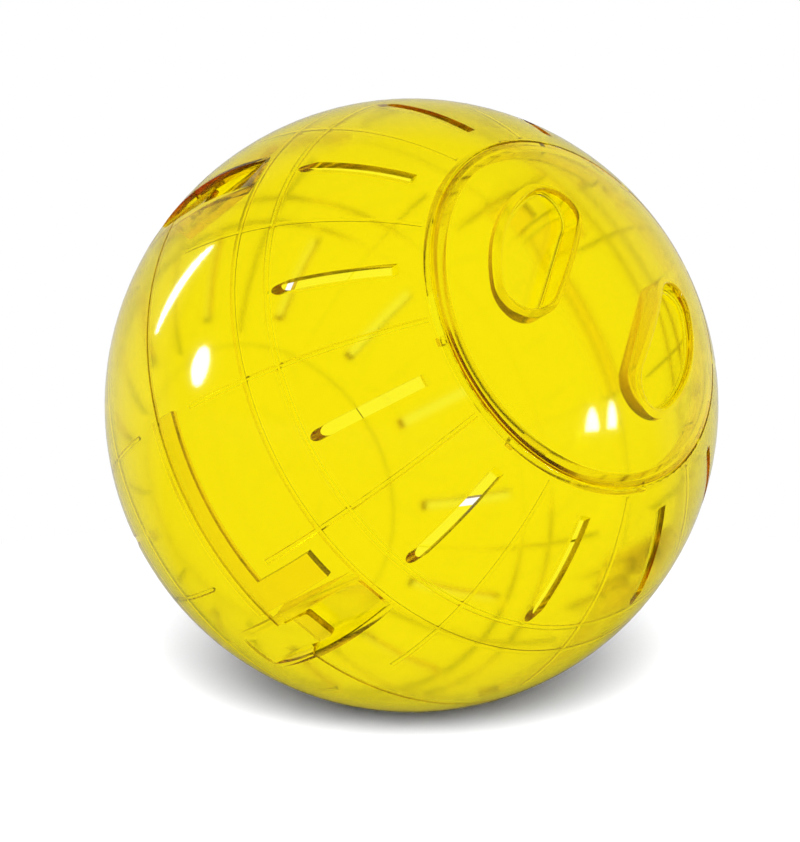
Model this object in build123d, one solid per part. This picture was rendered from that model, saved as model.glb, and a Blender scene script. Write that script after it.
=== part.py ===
from build123d import *
import os
from math import asin, cos, degrees, radians, sin, sqrt

# Transparent hollow exercise ball: two vented half shells that pull apart at a seam, and a twist-off
# door in the front one. Lengths are millimetres and angles are degrees.
#
# Everything is made in the ball's own frame: the origin is the ball's centre, Z runs out through the
# front door, Y leans up and X is to the right of a viewer who faces that door. Longitude is counted
# from X towards Y, and colatitude from the front door's pole. At the end the ball is leaned back about
# X, so that the front door faces -Y and a little upwards, as the ball lies on a floor.

# Ball
BALL_DIAMETER = 180.0
WALL = 2.0
DOOR_ELEVATION = 26.0

# Seam between the halves
SEAM_GAP = 0.2
SEAM_CHAMFER = 0.3

# Hoops and grip ribs on the inside
HOOP_COUNT = 2
HOOP_FIRST_COLATITUDE = 62.3
HOOP_STEP_ANGLE = 6.7
HOOP_WIDTH = 1.8
HOOP_TOP_WIDTH = 0.7
HOOP_HEIGHT = 0.7
RIB_COUNT = 12
RIB_FIRST_ANGLE = 27.5
RIB_DOOR_GAP = 2.7
RIB_END_COLATITUDE = 81.8
RIB_WIDTH = 1.4
RIB_TOP_WIDTH = 0.5
RIB_HEIGHT = 0.6

# Vent slots between the ribs, from near the door to the first hoop
SLOT_COUNT = 12
SLOT_FIRST_ANGLE = 12.5
SLOT_DOOR_GAP = 7.05
SLOT_HOOP_GAP = 0.2
SLOT_WIDTH = 3.2

# Closed end of the back half, a little thicker than the wall where the front half has its hole
BLANK_STEP = 0.4

# Door and the seat that it drops into
DOOR_DIAMETER = 99.8
RIM_GAP = 0.3
RIM_THICKNESS = 1.2
RIM_ROUND = 0.4
SEAT_WIDTH = 2.0
SEAT_GAP = 0.1
LEDGE_THICKNESS = 1.8
SKIRT_THICKNESS = 1.8

# Bayonet: lugs on the door's skirt pass the notches in the ledge, turn under it and meet the stops
LUG_COUNT = 4
LUG_FIRST_ANGLE = 138.5
LUG_ANGLE = 11.0
LUG_REACH = 1.6
LUG_THICKNESS = 1.6
LUG_GAP = 0.2
NOTCH_SLACK_ANGLE = 1.2
UNLOCK_ANGLE = 38.5
STOP_ANGLE = 2.5
STOP_SLACK_ANGLE = 0.5
STOP_REACH = 2.2
INDEX_PLACE_ANGLE = 207.0
INDEX_ANGLE = 3.4
INDEX_REACH = 0.7
INDEX_DEPTH = 0.6

# Two D-shaped finger recesses in the door, with a flat floor and a grip bar between them
GRIP_COUNT = 2
GRIP_FIRST_ANGLE = 139.0
GRIP_FLAT_DISTANCE = 16.0
GRIP_ARC_RADIUS = 33.5
GRIP_EDGE_DEPTH = 2.5
GRIP_CORNER_SHARE = 0.4
GRIP_FLOOR_ROUND_SHARE = 0.45
GRIP_RIM_ROUND_SHARE = 0.3

# Thumb recesses across the seam
LATCH_COUNT = 4
LATCH_FIRST_ANGLE = 42.5
RECESS_FLOOR_WIDTH = 11.2
RECESS_RIM_WIDTH = 13.8
RECESS_SIDE_WALL = 2.2
FRONT_RECESS_DEPTH = 5.7
BACK_RECESS_DEPTH = 2.3

# What the back half carries at each recess: a thumb tab in it, a lip inside the front half and a leaf
TAB_SIDE_GAP = 0.8
TAB_LENGTH = 9.9
TAB_ROUND = 1.0
LIP_GAP = 0.4
LIP_THICKNESS = 1.6
LIP_HEIGHT = 4.8
LIP_ROOT = 4.0
LIP_START_ANGLE = -46.0
LIP_RECESS_GAP = 1.5
LEAF_RIB_GAP = 3.1
LEAF_COLATITUDE = 74.0

# How far a cutter runs past a face, and how far an added piece is sunk into what it grows from
OVERRUN = 1.0
BITE = 0.5

# Sizes worked out from the above
outer_radius = BALL_DIAMETER / 2
inner_radius = outer_radius - WALL
seam_z = SEAM_GAP / 2
door_radius = DOOR_DIAMETER / 2
seat_radius = door_radius + RIM_GAP
hole_radius = seat_radius - SEAT_WIDTH
skirt_radius = hole_radius - RIM_GAP
lug_radius = skirt_radius + LUG_REACH
notch_radius = lug_radius + RIM_GAP
lip_outer_radius = inner_radius - LIP_GAP
lip_inner_radius = lip_outer_radius - LIP_THICKNESS
recess_half_width = RECESS_RIM_WIDTH / 2 + RECESS_SIDE_WALL
lip_end_angle = -degrees(asin((recess_half_width + LIP_RECESS_GAP) / inner_radius))
leaf_rib_angle = degrees((RIB_WIDTH / 2 + LEAF_RIB_GAP) / inner_radius)
leaf_start_angle = RIB_FIRST_ANGLE - LATCH_FIRST_ANGLE + leaf_rib_angle
tab_width = RECESS_FLOOR_WIDTH - 2 * TAB_SIDE_GAP
hoop_half_angle = degrees(HOOP_WIDTH / 2 / inner_radius)
grip_floor_round = GRIP_EDGE_DEPTH * GRIP_FLOOR_ROUND_SHARE
grip_rim_round = GRIP_EDGE_DEPTH * GRIP_RIM_ROUND_SHARE


def height_on(radius, distance):
    """Height at which a ball of this radius stands, at this distance from the door axis."""
    return sqrt(radius**2 - distance**2)


rim_bottom_z = height_on(outer_radius, door_radius) - RIM_THICKNESS
seat_z = rim_bottom_z - SEAT_GAP
ledge_bottom_z = seat_z - LEDGE_THICKNESS
lug_top_z = ledge_bottom_z - LUG_GAP
skirt_bottom_z = lug_top_z - LUG_THICKNESS
grip_floor_z = height_on(outer_radius, GRIP_ARC_RADIUS) - GRIP_EDGE_DEPTH


def polar(radius, colatitude):
    """Distance from the door axis and height of a point on a ball of this radius."""
    return (radius * sin(radians(colatitude)), radius * cos(radians(colatitude)))


def fused(shapes):
    """One solid from shapes that run into each other."""
    first, *others = shapes
    return first.fuse(*others).clean()


def sphere_arc(radius, start, end):
    """Arc of a sphere's outline, between two points given as distance from the axis and height."""
    middle = (Vector(*start) + Vector(*end)).normalized() * radius
    return ThreePointArc(start, (middle.X, middle.Y), end)


def outlined(*curves):
    """Flat face inside a closed outline."""
    return make_face(Wire([edge for curve in curves for edge in curve.edges()]))


def turned_solid(outline, angle=360):
    """Solid of revolution about the door axis from a half outline, starting at longitude zero."""
    return revolve(Plane.XZ * outline, Axis.Z, revolution_arc=angle)


def rounded_corner(outline, corner, radius):
    """Outline with the corner nearest to a point rounded off."""
    return fillet(outline.vertices().sort_by_distance(corner)[0], radius)


def around(shape, count, first_angle):
    """Copies of a shape modelled at longitude zero, spaced evenly round the door axis."""
    return [Rot(0, 0, first_angle + 360 / count * index) * shape for index in range(count)]


def ring_block(low_radius, high_radius, low_z, high_z, angle):
    """Block of a flat ring about the door axis, centred on longitude zero."""
    section = Pos((low_radius + high_radius) / 2, (low_z + high_z) / 2) * Rectangle(
        high_radius - low_radius, high_z - low_z
    )
    return Rot(0, 0, -angle / 2) * turned_solid(section, angle)


def hoop_outline(colatitude):
    """Outline of a low hoop on the inner face: its foot there, its curves, and its far foot."""
    top_radius = inner_radius - HOOP_HEIGHT
    top_half_angle = degrees(HOOP_TOP_WIDTH / 2 / top_radius)
    foot, far_foot = (polar(inner_radius, colatitude + side * hoop_half_angle) for side in (-1, 1))
    top_start, top_end = (polar(top_radius, colatitude + side * top_half_angle) for side in (-1, 1))
    curves = [Line(foot, top_start), sphere_arc(top_radius, top_start, top_end), Line(top_end, far_foot)]
    return foot, curves, far_foot


def opening_curves():
    """Front half's outline at the door: from the outer face down the seat and ledge to the inner face."""
    seat_top = (seat_radius, height_on(outer_radius, seat_radius))
    ledge_end = (height_on(inner_radius, ledge_bottom_z), ledge_bottom_z)
    steps = Polyline(
        seat_top,
        (seat_radius, seat_z),
        (hole_radius, seat_z),
        (hole_radius, ledge_bottom_z),
        ledge_end,
    )
    return seat_top, [steps], ledge_end


def blank_curves():
    """Closed half's outline at its pole: down the axis, and along the thicker end to its step."""
    pole = (0, outer_radius)
    blank_radius = inner_radius - BLANK_STEP
    blank_pole = (0, blank_radius)
    blank_edge = (hole_radius, height_on(blank_radius, hole_radius))
    step_foot = (hole_radius, height_on(inner_radius, hole_radius))
    blank_face = sphere_arc(blank_radius, blank_pole, blank_edge)
    return pole, [Line(pole, blank_pole), blank_face, Line(blank_edge, step_foot)], step_foot


def dome_outline(pole_curves):
    """Half outline of a shell of revolution: its end at the pole, the hoops inside and the seam."""
    outer_end, curves, last = pole_curves
    seam_inner = (height_on(inner_radius, seam_z), seam_z)
    seam_outer = (height_on(outer_radius, seam_z) - SEAM_CHAMFER, seam_z)
    chamfer_top = (height_on(outer_radius, seam_z + SEAM_CHAMFER), seam_z + SEAM_CHAMFER)
    inside = []
    for index in range(HOOP_COUNT):
        foot, hoop_curves, far_foot = hoop_outline(HOOP_FIRST_COLATITUDE + HOOP_STEP_ANGLE * index)
        inside += [sphere_arc(inner_radius, last, foot), *hoop_curves]
        last = far_foot
    return outlined(
        sphere_arc(outer_radius, chamfer_top, outer_end),
        *curves,
        *inside,
        sphere_arc(inner_radius, last, seam_inner),
        Line(seam_inner, seam_outer),
        Line(seam_outer, chamfer_top),
    )


def grip_ribs():
    """Low meridian ribs on the inner face, halfway between the slots."""
    start = degrees(asin((seat_radius + RIB_DOOR_GAP) / outer_radius))
    foot = inner_radius + BITE
    top = inner_radius - RIB_HEIGHT
    section = outlined(Polyline(
        (foot, -RIB_WIDTH / 2),
        (inner_radius, -RIB_WIDTH / 2),
        (top, -RIB_TOP_WIDTH / 2),
        (top, RIB_TOP_WIDTH / 2),
        (inner_radius, RIB_WIDTH / 2),
        (foot, RIB_WIDTH / 2),
        close=True,
    ))
    rib = Rot(0, start - 90, 0) * revolve(section, Axis.Y, revolution_arc=RIB_END_COLATITUDE - start)
    return around(rib, RIB_COUNT, RIB_FIRST_ANGLE)


def vent_slots():
    """Cutters for the vents: square near the door, round towards the seam."""
    start = seat_radius + SLOT_DOOR_GAP
    hoop_edge, _ = polar(inner_radius, HOOP_FIRST_COLATITUDE - hoop_half_angle)
    end = hoop_edge - SLOT_HOOP_GAP - SLOT_WIDTH / 2
    outline = Pos((start + end) / 2, 0) * Rectangle(end - start, SLOT_WIDTH)
    outline += Pos(end, 0) * Circle(SLOT_WIDTH / 2)
    return around(extrude(outline, outer_radius), SLOT_COUNT, SLOT_FIRST_ANGLE)


def bayonet_notches():
    """Cutters through the ledge that let the lugs in."""
    angle = LUG_ANGLE + 2 * NOTCH_SLACK_ANGLE
    bottom_z = ledge_bottom_z - OVERRUN
    cutter = ring_block(hole_radius - OVERRUN, notch_radius, bottom_z, seat_z + OVERRUN, angle)
    return around(cutter, LUG_COUNT, LUG_FIRST_ANGLE + UNLOCK_ANGLE)


def bayonet_stops():
    """Blocks under the ledge that end the door's twist, one pair for each lug."""
    stop_radius = hole_radius + STOP_REACH
    stop = ring_block(hole_radius, stop_radius, skirt_bottom_z, ledge_bottom_z + BITE, STOP_ANGLE)
    away = (LUG_ANGLE + STOP_ANGLE) / 2 + STOP_SLACK_ANGLE
    locked_stops = around(stop, LUG_COUNT, LUG_FIRST_ANGLE - away)
    open_stops = around(stop, LUG_COUNT, LUG_FIRST_ANGLE + UNLOCK_ANGLE + away)
    return locked_stops + open_stops


def index_mark():
    """Cutter for the small nick beside the seat that shows where the door is locked."""
    floor_z = height_on(outer_radius, seat_radius) - INDEX_DEPTH
    nick = ring_block(seat_radius - OVERRUN, seat_radius + INDEX_REACH, floor_z, outer_radius, INDEX_ANGLE)
    return Rot(0, 0, INDEX_PLACE_ANGLE) * nick


def ventilated(dome):
    """What both halves have in common: a dome with the ribs inside and the slots through it."""
    return fused([dome, *grip_ribs()]) - vent_slots()


def recess_outline(depth, margin):
    """Cross-section of a thumb recess, or of the wall round it when there is a margin."""
    floor_distance = outer_radius - depth - (WALL if margin else 0)
    floor_half = RECESS_FLOOR_WIDTH / 2 + margin
    rim_half = RECESS_RIM_WIDTH / 2 + margin
    rim_distance = outer_radius + OVERRUN
    return outlined(Polyline(
        (floor_distance, -floor_half),
        (rim_distance, -rim_half),
        (rim_distance, rim_half),
        (floor_distance, floor_half),
        close=True,
    ))


def recessed(shell, depth):
    """Front-facing shell with a flat-floored thumb recess, and its wall, at each latch."""
    wall_height = height_on(outer_radius - WALL / 2, outer_radius - depth - WALL)
    block = Pos(0, 0, seam_z) * extrude(recess_outline(depth, RECESS_SIDE_WALL), wall_height - seam_z)
    block = block & Rot(0, 0, 90) * Sphere(outer_radius - BITE)
    cutter = Pos(0, 0, -OVERRUN) * extrude(recess_outline(depth, 0), outer_radius)
    shell = fused([shell, *around(block, LATCH_COUNT, LATCH_FIRST_ANGLE)])
    return shell - around(cutter, LATCH_COUNT, LATCH_FIRST_ANGLE)


def flipped(shape):
    """Turned end over end about the first latch's line, which maps the pattern of slots onto itself."""
    return Rot(0, 0, LATCH_FIRST_ANGLE) * Rot(180, 0, 0) * Rot(0, 0, -LATCH_FIRST_ANGLE) * shape


def lip_sector(start_angle, end_angle, top_z):
    """Stretch of lip that grows from the back half's inner face and stands up past the seam."""
    root_radius = inner_radius + BITE
    root_top = -seam_z - BITE
    root_low = (height_on(root_radius, LIP_ROOT), -LIP_ROOT)
    root_high = (height_on(root_radius, root_top), root_top)
    face_low = (height_on(lip_outer_radius, root_top), root_top)
    face_high = (height_on(lip_outer_radius, top_z), top_z)
    back_high = (height_on(lip_inner_radius, top_z), top_z)
    back_low = (height_on(lip_inner_radius, LIP_ROOT), -LIP_ROOT)
    outline = outlined(
        sphere_arc(root_radius, root_low, root_high),
        Line(root_high, face_low),
        sphere_arc(lip_outer_radius, face_low, face_high),
        Line(face_high, back_high),
        sphere_arc(lip_inner_radius, back_high, back_low),
        Line(back_low, root_low),
    )
    return Rot(0, 0, start_angle) * turned_solid(outline, end_angle - start_angle)


def latch_pieces():
    """What stands up from the back half at each latch: thumb tab, locating lip and leaf."""
    floor_distance = outer_radius - BACK_RECESS_DEPTH
    tab_height = TAB_LENGTH + LIP_ROOT
    tab = Pos(floor_distance - WALL / 2, 0, tab_height / 2 - LIP_ROOT) * Box(WALL, tab_width, tab_height)
    tab = fillet(tab.edges().filter_by(Axis.X).group_by(Axis.Z)[-1], TAB_ROUND)
    lip = lip_sector(LIP_START_ANGLE, leaf_start_angle, LIP_HEIGHT)
    leaf = lip_sector(leaf_start_angle, lip_end_angle, inner_radius * cos(radians(LEAF_COLATITUDE)))
    return [piece for shape in (tab, lip, leaf) for piece in around(shape, LATCH_COUNT, LATCH_FIRST_ANGLE)]


def front_half_shell():
    """Half shell on the viewer's side, with the door's hole and recesses deep enough for the tabs."""
    curves = opening_curves()
    dome = turned_solid(rounded_corner(dome_outline(curves), curves[0], RIM_ROUND))
    shell = ventilated(dome) - bayonet_notches() - index_mark()
    return recessed(fused([shell, *bayonet_stops()]), FRONT_RECESS_DEPTH)


def back_half_shell():
    """Closed half shell on the far side, with the lips that reach into the front half."""
    dome = turned_solid(dome_outline(blank_curves()))
    shell = flipped(recessed(ventilated(dome), BACK_RECESS_DEPTH))
    return fused([shell, *latch_pieces()])


def grip_outline(margin):
    """D outline of a finger recess: a flat towards the axis, an arc about it and round corners."""
    flat = GRIP_FLAT_DISTANCE - margin
    arc_radius = GRIP_ARC_RADIUS + margin
    corner = (GRIP_ARC_RADIUS - GRIP_FLAT_DISTANCE) * GRIP_CORNER_SHARE + margin
    corner_distance = arc_radius - corner
    corner_x = flat + corner
    corner_y = height_on(corner_distance, corner_x)
    half_angle = asin(corner_y / corner_distance) / 2
    middle = (corner_x - corner * sin(half_angle), corner_y + corner * cos(half_angle))
    touch = (corner_x * arc_radius / corner_distance, corner_y * arc_radius / corner_distance)
    return outlined(
        Line((flat, -corner_y), (flat, corner_y)),
        ThreePointArc((flat, corner_y), middle, touch),
        ThreePointArc(touch, (arc_radius, 0), (touch[0], -touch[1])),
        ThreePointArc((touch[0], -touch[1]), (middle[0], -middle[1]), (flat, -corner_y)),
    )


def door_dome():
    """Door's plain form: a cap of the ball with a rim for the seat and a skirt through the hole."""
    crown_outer = (0, outer_radius)
    crown_inner = (0, inner_radius)
    rim_top = (door_radius, height_on(outer_radius, door_radius))
    skirt_inner = skirt_radius - SKIRT_THICKNESS
    skirt_top = (skirt_inner, height_on(inner_radius, skirt_inner))
    edge = Polyline(
        rim_top,
        (door_radius, rim_bottom_z),
        (skirt_radius, rim_bottom_z),
        (skirt_radius, skirt_bottom_z),
        (skirt_inner, skirt_bottom_z),
        skirt_top,
    )
    outline = outlined(
        sphere_arc(outer_radius, crown_outer, rim_top),
        edge,
        sphere_arc(inner_radius, skirt_top, crown_inner),
        Line(crown_inner, crown_outer),
    )
    return turned_solid(rounded_corner(outline, rim_top, RIM_ROUND))


def is_grip_rim(edge):
    """Whether an edge is where a finger recess meets the door's outer face."""
    middle = edge.position_at(0.5)
    on_face = abs(middle.length - outer_radius) < grip_rim_round / 2
    clear_of_crown = min(Vector(end.X, end.Y).length for end in edge.vertices()) > GRIP_FLAT_DISTANCE / 2
    clear_of_rim = Vector(middle.X, middle.Y).length < GRIP_ARC_RADIUS + grip_rim_round
    return on_face and clear_of_crown and clear_of_rim


def front_door():
    """Door with its lugs and finger recesses, locked."""
    lug = ring_block(skirt_radius - BITE, lug_radius, skirt_bottom_z, lug_top_z, LUG_ANGLE)
    grip_height = outer_radius - grip_floor_z
    pan = Pos(0, 0, grip_floor_z - WALL) * extrude(grip_outline(WALL), grip_height)
    pan = pan & Rot(0, 0, 90) * Sphere(outer_radius - BITE)
    hollow = Pos(0, 0, grip_floor_z) * extrude(grip_outline(0), grip_height + OVERRUN)
    hollow = fillet(hollow.faces().sort_by(Axis.Z)[0].edges(), grip_floor_round)
    lugs = around(lug, LUG_COUNT, LUG_FIRST_ANGLE)
    pans = around(pan, GRIP_COUNT, GRIP_FIRST_ANGLE)
    door = fused([door_dome(), *lugs, *pans]) - around(hollow, GRIP_COUNT, GRIP_FIRST_ANGLE)
    return fillet(door.edges().filter_by(is_grip_rim), grip_rim_round)


def leaned(shape):
    """From the ball's own frame to how the ball lies."""
    return Rot(90 - DOOR_ELEVATION, 0, 0) * shape


os.makedirs("parts", exist_ok=True)
for piece in (front_half_shell, back_half_shell, front_door):
    export_step(leaned(piece()), f"parts/{piece.__name__}.step")
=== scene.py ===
"""A transparent yellow exercise ball, lying on a pale floor in soft studio light."""
import math

import bpy
import numpy as np
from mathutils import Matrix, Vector


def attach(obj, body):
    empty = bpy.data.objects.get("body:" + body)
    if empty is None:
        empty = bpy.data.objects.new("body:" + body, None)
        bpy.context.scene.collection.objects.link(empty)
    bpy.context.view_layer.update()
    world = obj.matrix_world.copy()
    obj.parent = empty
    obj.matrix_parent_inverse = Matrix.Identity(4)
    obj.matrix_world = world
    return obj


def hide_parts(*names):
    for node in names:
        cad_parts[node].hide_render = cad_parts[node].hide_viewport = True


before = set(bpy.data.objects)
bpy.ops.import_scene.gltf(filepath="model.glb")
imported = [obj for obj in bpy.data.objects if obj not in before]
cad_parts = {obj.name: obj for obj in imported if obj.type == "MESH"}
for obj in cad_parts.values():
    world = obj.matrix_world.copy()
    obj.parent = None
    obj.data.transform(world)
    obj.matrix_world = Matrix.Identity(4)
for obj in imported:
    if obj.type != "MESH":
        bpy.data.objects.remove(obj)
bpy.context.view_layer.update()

# Lengths in metres. The ball's centre is the origin and it touches the floor below.
MM = 0.001
BALL_RADIUS = 90 * MM
FLOOR_Z = -BALL_RADIUS

# Mouldings: the CAD node, the body that carries it and its finish
MOULDINGS = (
    ("front_half_shell", "front_half", "shell"),
    ("back_half_shell", "back_half", "shell"),
    ("front_door", "front_door", "door"),
)
MERGE_DECIMALS = 7
CREASE_ANGLE = math.radians(28)
SPHERE_SLACK = 0.03 * MM
RADIAL_COSINE = 0.995

# Polystyrene: its tint at the surface, and the share of red, green and blue that its dye leaves, which is
# finer than a hex colour can say
TINT = "#FFF75B"
DYE_COLOUR = (0.998, 0.986, 0.0, 1.0)
DYE_DENSITY = 700.0
WAVE_LENGTH = 26 * MM
WAVE_HEIGHT = 0.05 * MM

# Viewpoint of the photograph: low, and to the left of the front door
CAMERA_PLACE = Vector((-0.667, -0.732, 0.140)).normalized() * 0.585
CAMERA_LENS = 84.3
CAMERA_SENSOR = 36
FRAME_WIDTH, FRAME_HEIGHT = 800, 842
BALL_PIXEL = (411.5, 405.3)

# Studio: brightness of the white backdrop, and of the room as the gloss mirrors it in front and behind
BACKDROP = 1.0
OUTER_GLOSS = 0.06
BACK_GLOSS = 0.6
FRONT = Vector((CAMERA_PLACE.x, CAMERA_PLACE.y, 0)).normalized()
BACKDROP_WAY = (Vector((0, 0, -math.tan(math.radians(30)))) - FRONT).normalized()

# Light on the floor: a key light in front and above, and a little from all round
KEY_LIGHT = 23.0
KEY_POWER = 12.0
KEY_WAY = (FRONT + Vector((0, 0, math.tan(math.radians(36))))).normalized()
FLOOR_LIGHT = 0.15

# Floor: a disc, and the distances from the ball at which it starts and ends to fade to white
FLOOR_RADIUS = 3.0
FLOOR_RINGS = 24
FLOOR_SPOKES = 64
FADE_START, FADE_END = 0.1, 0.3

# Softboxes: the photograph's pixel that mirrors each one, and its two widths in metres
SOFTBOXES = (
    ("left_softbox", (200, 366), (0.17, 0.24)),
    ("strip_light", (180, 285), (0.08, 0.52)),
    ("right_softbox", (592, 440), (0.13, 0.42)),
    ("far_right_softbox", (612, 430), (0.09, 0.36)),
)
SOFTBOX_DISTANCE = 1.2
SOFTBOX_RADIANCE = 18.0

# Light runs a long way inside a clear wall before it leaves it
WALL_BOUNCES = 20


def linear(hex_colour):
    """sRGB hex colour to linear red, green, blue and an alpha of one."""
    srgb = np.array([int(hex_colour[i:i + 2], 16) for i in (1, 3, 5)]) / 255
    values = np.where(srgb <= 0.04045, srgb / 12.92, ((srgb + 0.055) / 1.055) ** 2.4)
    return (*values.tolist(), 1.0)


def add_node(tree, kind, inputs=None, **settings):
    """Adds a node with its settings. An input gets a value, a link from an output or from a node's first."""
    node = tree.nodes.new(kind)
    for name, value in settings.items():
        setattr(node, name, value)
    for name, value in (inputs or {}).items():
        if isinstance(value, bpy.types.Node):
            value = value.outputs[0]
        if isinstance(value, bpy.types.NodeSocket):
            tree.links.new(value, node.inputs[name])
        else:
            node.inputs[name].default_value = value
    return node


def new_tree(data):
    """Empty node tree of a material or the world."""
    data.use_nodes = True
    data.node_tree.nodes.clear()
    return data.node_tree


def transparent_polystyrene():
    """Crystal polystyrene, injection moulded in a polished tool and dyed yellow.

    Bright gloss with a slow waviness from the moulding, clear to look through. The dye takes the blue out
    of light within one wall, and the green only over a centimetre or more, so edges seen lengthwise are
    amber.
    """
    material = bpy.data.materials.new("moulded_transparent_yellow_polystyrene")
    tree = new_tree(material)
    place = add_node(tree, "ShaderNodeTexCoord").outputs["Object"]
    waves = add_node(tree, "ShaderNodeTexNoise", {"Vector": place, "Scale": 1 / WAVE_LENGTH, "Detail": 1.0})
    bump = add_node(tree, "ShaderNodeBump", {
        "Height": waves.outputs["Fac"],
        "Strength": 1.0,
        "Distance": WAVE_HEIGHT,
    })
    plastic = add_node(tree, "ShaderNodeBsdfPrincipled", {
        "Base Color": linear(TINT),
        "Roughness": 0.075,
        "IOR": 1.59,
        "Transmission Weight": 1.0,
        "Normal": bump,
    })
    dye = add_node(tree, "ShaderNodeVolumeAbsorption", {"Color": DYE_COLOUR, "Density": DYE_DENSITY})
    add_node(tree, "ShaderNodeOutputMaterial", {"Surface": plastic, "Volume": dye})
    return material


def smooth_moulding(name, node):
    """Copy of a CAD node with its loose triangles merged, and with normals that follow the real surfaces.

    A corner of a triangle that lies on a sphere about the ball's centre takes the exact direction of the
    radius, and every other corner the mean of its neighbours up to the crease angle.
    """
    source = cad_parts[node].data
    places = np.empty(3 * len(source.vertices))
    source.vertices.foreach_get("co", places)
    corners = np.empty(len(source.loops), dtype=np.int64)
    source.loops.foreach_get("vertex_index", corners)
    merged, index = np.unique(places.reshape(-1, 3).round(MERGE_DECIMALS), axis=0, return_inverse=True)
    triangles = index.ravel()[corners].reshape(-1, 3)
    a, b, c = triangles.T
    triangles = triangles[(a != b) & (b != c) & (c != a)]

    mesh = bpy.data.meshes.new(name)
    mesh.from_pydata(merged, [], triangles)
    mesh.shade_smooth()
    mesh.set_sharp_from_angle(angle=CREASE_ANGLE)
    normals = np.empty(3 * len(mesh.loops))
    mesh.corner_normals.foreach_get("vector", normals)
    normals = normals.reshape(-1, 3, 3)

    # A triangle is on a sphere where its corners have one radius and it faces along it
    points = merged[triangles]
    radii = np.linalg.norm(points, axis=2)
    radial = points / radii[:, :, None]
    flat = np.cross(points[:, 1] - points[:, 0], points[:, 2] - points[:, 0])
    flat /= np.maximum(np.linalg.norm(flat, axis=1, keepdims=True), 1e-30)
    facing = np.einsum("ij,ij->i", flat, radial.mean(axis=1))
    on_sphere = (np.ptp(radii, axis=1) < SPHERE_SLACK) & (abs(facing) > RADIAL_COSINE)
    normals[on_sphere] = radial[on_sphere] * np.sign(facing[on_sphere])[:, None, None]
    mesh.normals_split_custom_set(normals.reshape(-1, 3))

    moulding = bpy.data.objects.new(name, mesh)
    bpy.context.scene.collection.objects.link(moulding)
    return moulding


def room_brightness(tree, path, towards_back):
    """What a ray sees of the room: white, but dim where a wall's gloss mirrors it, and less so behind the ball.

    The mirrored brightness grows with the cosine towards the back. A ray that has left a matt surface sees
    nothing here.
    """
    behind = add_node(tree, "ShaderNodeMath", {0: towards_back, 1: 0.0}, operation="MAXIMUM")
    gloss = add_node(tree, "ShaderNodeMath", {
        0: behind, 1: BACK_GLOSS, 2: OUTER_GLOSS}, operation="MULTIPLY_ADD")
    change = add_node(tree, "ShaderNodeMath", {0: gloss, 1: BACKDROP}, operation="SUBTRACT")
    seen = add_node(tree, "ShaderNodeMath", {
        0: path["Is Reflection Ray"], 1: change, 2: BACKDROP}, operation="MULTIPLY_ADD")
    clear = add_node(tree, "ShaderNodeMath", {0: path["Diffuse Depth"], 1: 0.5}, operation="LESS_THAN")
    return add_node(tree, "ShaderNodeMath", {0: seen, 1: clear}, operation="MULTIPLY")


def studio_world():
    """White all round for the lens and for what a clear wall lets through, and a dome of light for the floor.

    The walls' own reflections show a dim room in front and a white backdrop behind, so that gloss stays
    clear and the rim of the ball bright. The dome is a soft key light in front and above, a power of the
    cosine from its middle, with a little light all round. Light that has passed through the ball doesn't
    reach the floor, so that the shadow is a neutral grey.
    """
    world = bpy.data.worlds.new("white_studio")
    tree = new_tree(world)
    path = add_node(tree, "ShaderNodeLightPath").outputs
    way = add_node(tree, "ShaderNodeTexCoord").outputs["Generated"]
    to_back = add_node(tree, "ShaderNodeVectorMath", {0: way, 1: BACKDROP_WAY}, operation="DOT_PRODUCT")
    room = room_brightness(tree, path, to_back.outputs["Value"])
    to_key = add_node(tree, "ShaderNodeVectorMath", {0: way, 1: KEY_WAY}, operation="DOT_PRODUCT")
    facing = add_node(tree, "ShaderNodeMath", {0: to_key.outputs["Value"], 1: 0.0}, operation="MAXIMUM")
    key = add_node(tree, "ShaderNodeMath", {0: facing, 1: KEY_POWER}, operation="POWER")
    dome = add_node(tree, "ShaderNodeMath", {0: key, 1: KEY_LIGHT, 2: FLOOR_LIGHT}, operation="MULTIPLY_ADD")
    strength = add_node(tree, "ShaderNodeMath", {
        0: path["Is Diffuse Ray"], 1: dome, 2: room}, operation="MULTIPLY_ADD")
    sky = add_node(tree, "ShaderNodeBackground", {"Color": linear("#FFFFFF"), "Strength": strength})
    add_node(tree, "ShaderNodeOutputWorld", {"Surface": sky})
    world.cycles.sampling_method = "NONE"
    bpy.context.scene.world = world


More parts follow.
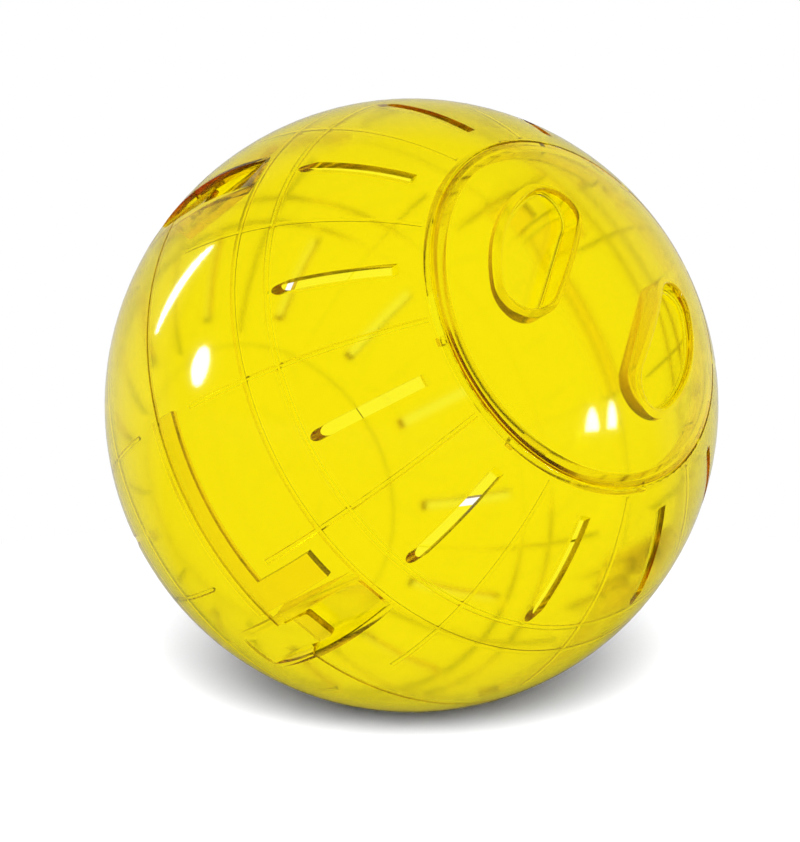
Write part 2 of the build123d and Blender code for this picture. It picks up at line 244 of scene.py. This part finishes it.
def matt_white_paint():
    """Matt white paint on the studio floor: even, with no gloss, and it fades into the white background.

    Only the lens sees the paint and the shadow on it. Every other ray sees the brightness of the room.
    """
    material = bpy.data.materials.new("matt_white_studio_floor")
    tree = new_tree(material)
    matt = add_node(tree, "ShaderNodeBsdfDiffuse", {"Color": linear("#F4F4F4")})
    place = add_node(tree, "ShaderNodeTexCoord").outputs["Object"]
    path = add_node(tree, "ShaderNodeLightPath").outputs
    way = add_node(tree, "ShaderNodeVectorMath", {0: place}, operation="NORMALIZE")
    to_back = add_node(tree, "ShaderNodeVectorMath", {0: way, 1: -FRONT}, operation="DOT_PRODUCT")
    room = room_brightness(tree, path, to_back.outputs["Value"])
    white = add_node(tree, "ShaderNodeEmission", {"Color": linear("#FFFFFF"), "Strength": room})
    away = add_node(tree, "ShaderNodeVectorMath", {0: place}, operation="LENGTH")
    fade = add_node(tree, "ShaderNodeMapRange", {
        "Value": away.outputs["Value"],
        "From Min": FADE_START,
        "From Max": FADE_END,
    }, interpolation_type="SMOOTHSTEP")
    unseen = add_node(tree, "ShaderNodeMath", {0: 1.0, 1: path["Is Camera Ray"]}, operation="SUBTRACT")
    share = add_node(tree, "ShaderNodeMath", {0: fade, 1: unseen}, operation="MAXIMUM")
    mixed = add_node(tree, "ShaderNodeMixShader", {0: share, 1: matt, 2: white})
    add_node(tree, "ShaderNodeOutputMaterial", {"Surface": mixed})
    return material


def pale_floor():
    """Studio floor: a disc of rings and spokes, with the rings closer together near the ball."""
    radii = np.linspace(0, 1, FLOOR_RINGS) ** 2 * FLOOR_RADIUS
    turns = np.linspace(0, 2 * math.pi, FLOOR_SPOKES + 1)[:-1]
    x = radii[:, None] * np.cos(turns)
    y = radii[:, None] * np.sin(turns)
    points = np.stack([x, y, np.full_like(x, FLOOR_Z)], axis=2).reshape(-1, 3)
    ring, spoke = np.meshgrid(np.arange(FLOOR_RINGS - 1), np.arange(FLOOR_SPOKES), indexing="ij")
    corner = ring * FLOOR_SPOKES + spoke
    beside = ring * FLOOR_SPOKES + (spoke + 1) % FLOOR_SPOKES
    quads = np.stack([corner, corner + FLOOR_SPOKES, beside + FLOOR_SPOKES, beside], axis=2)
    mesh = bpy.data.meshes.new("floor")
    mesh.from_pydata(points, [], quads.reshape(-1, 4))
    mesh.materials.append(matt_white_paint())
    floor = bpy.data.objects.new("floor", mesh)
    bpy.context.scene.collection.objects.link(floor)


def photo_camera():
    """Camera at the photograph's angle, shifted so that the ball's centre falls on its pixel there."""
    data = bpy.data.cameras.new("camera")
    data.sensor_width = CAMERA_SENSOR
    data.lens = CAMERA_LENS
    longest = max(FRAME_WIDTH, FRAME_HEIGHT)
    data.shift_x = (FRAME_WIDTH / 2 - BALL_PIXEL[0]) / longest
    data.shift_y = (BALL_PIXEL[1] - FRAME_HEIGHT / 2) / longest
    camera = bpy.data.objects.new("camera", data)
    camera.location = CAMERA_PLACE
    camera.rotation_euler = CAMERA_PLACE.to_track_quat("Z", "Y").to_euler()
    bpy.context.scene.collection.objects.link(camera)
    bpy.context.scene.camera = camera


def softboxes():
    """Lamps that the ball's face mirrors at given pixels.

    The sight line of the pixel meets the ball nearest to the lens and turns there by the law of reflection,
    and the lamp stands on the turned line and faces back along it. Its power follows its area, so that all
    are equally bright.
    """
    back = CAMERA_PLACE.normalized()
    right = Vector((0, 0, 1)).cross(back).normalized()
    up = back.cross(right)
    focal = CAMERA_LENS / CAMERA_SENSOR * max(FRAME_WIDTH, FRAME_HEIGHT)
    for name, pixel, (width, height) in SOFTBOXES:
        across, down = pixel[0] - BALL_PIXEL[0], pixel[1] - BALL_PIXEL[1]
        sight = (right * across - up * down - back * focal).normalized()
        nearest = -CAMERA_PLACE.dot(sight)
        reach = nearest - math.sqrt(nearest ** 2 - CAMERA_PLACE.length_squared + BALL_RADIUS ** 2)
        touch = CAMERA_PLACE + sight * reach
        mirrored = sight.reflect(touch.normalized())
        data = bpy.data.lights.new(name, "AREA")
        data.shape = "ELLIPSE"
        data.size = width
        data.size_y = height
        data.energy = SOFTBOX_RADIANCE * math.pi ** 2 * width * height / 4
        lamp = bpy.data.objects.new(name, data)
        lamp.location = touch + mirrored * SOFTBOX_DISTANCE
        lamp.rotation_euler = mirrored.to_track_quat("Z", "Y").to_euler()
        lamp.visible_camera = False
        lamp.visible_transmission = False
        lamp.visible_diffuse = False
        bpy.context.scene.collection.objects.link(lamp)


plastic = transparent_polystyrene()
for node, body, finish in MOULDINGS:
    piece = smooth_moulding(node + "_moulding", node)
    piece.data.materials.append(plastic)
    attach(piece, body)
    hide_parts(node)

studio_world()
pale_floor()
photo_camera()
softboxes()
bpy.context.scene.view_settings.view_transform = "Standard"
bpy.context.scene.cycles.max_bounces = WALL_BOUNCES
bpy.context.scene.cycles.glossy_bounces = WALL_BOUNCES
bpy.context.scene.cycles.transmission_bounces = WALL_BOUNCES
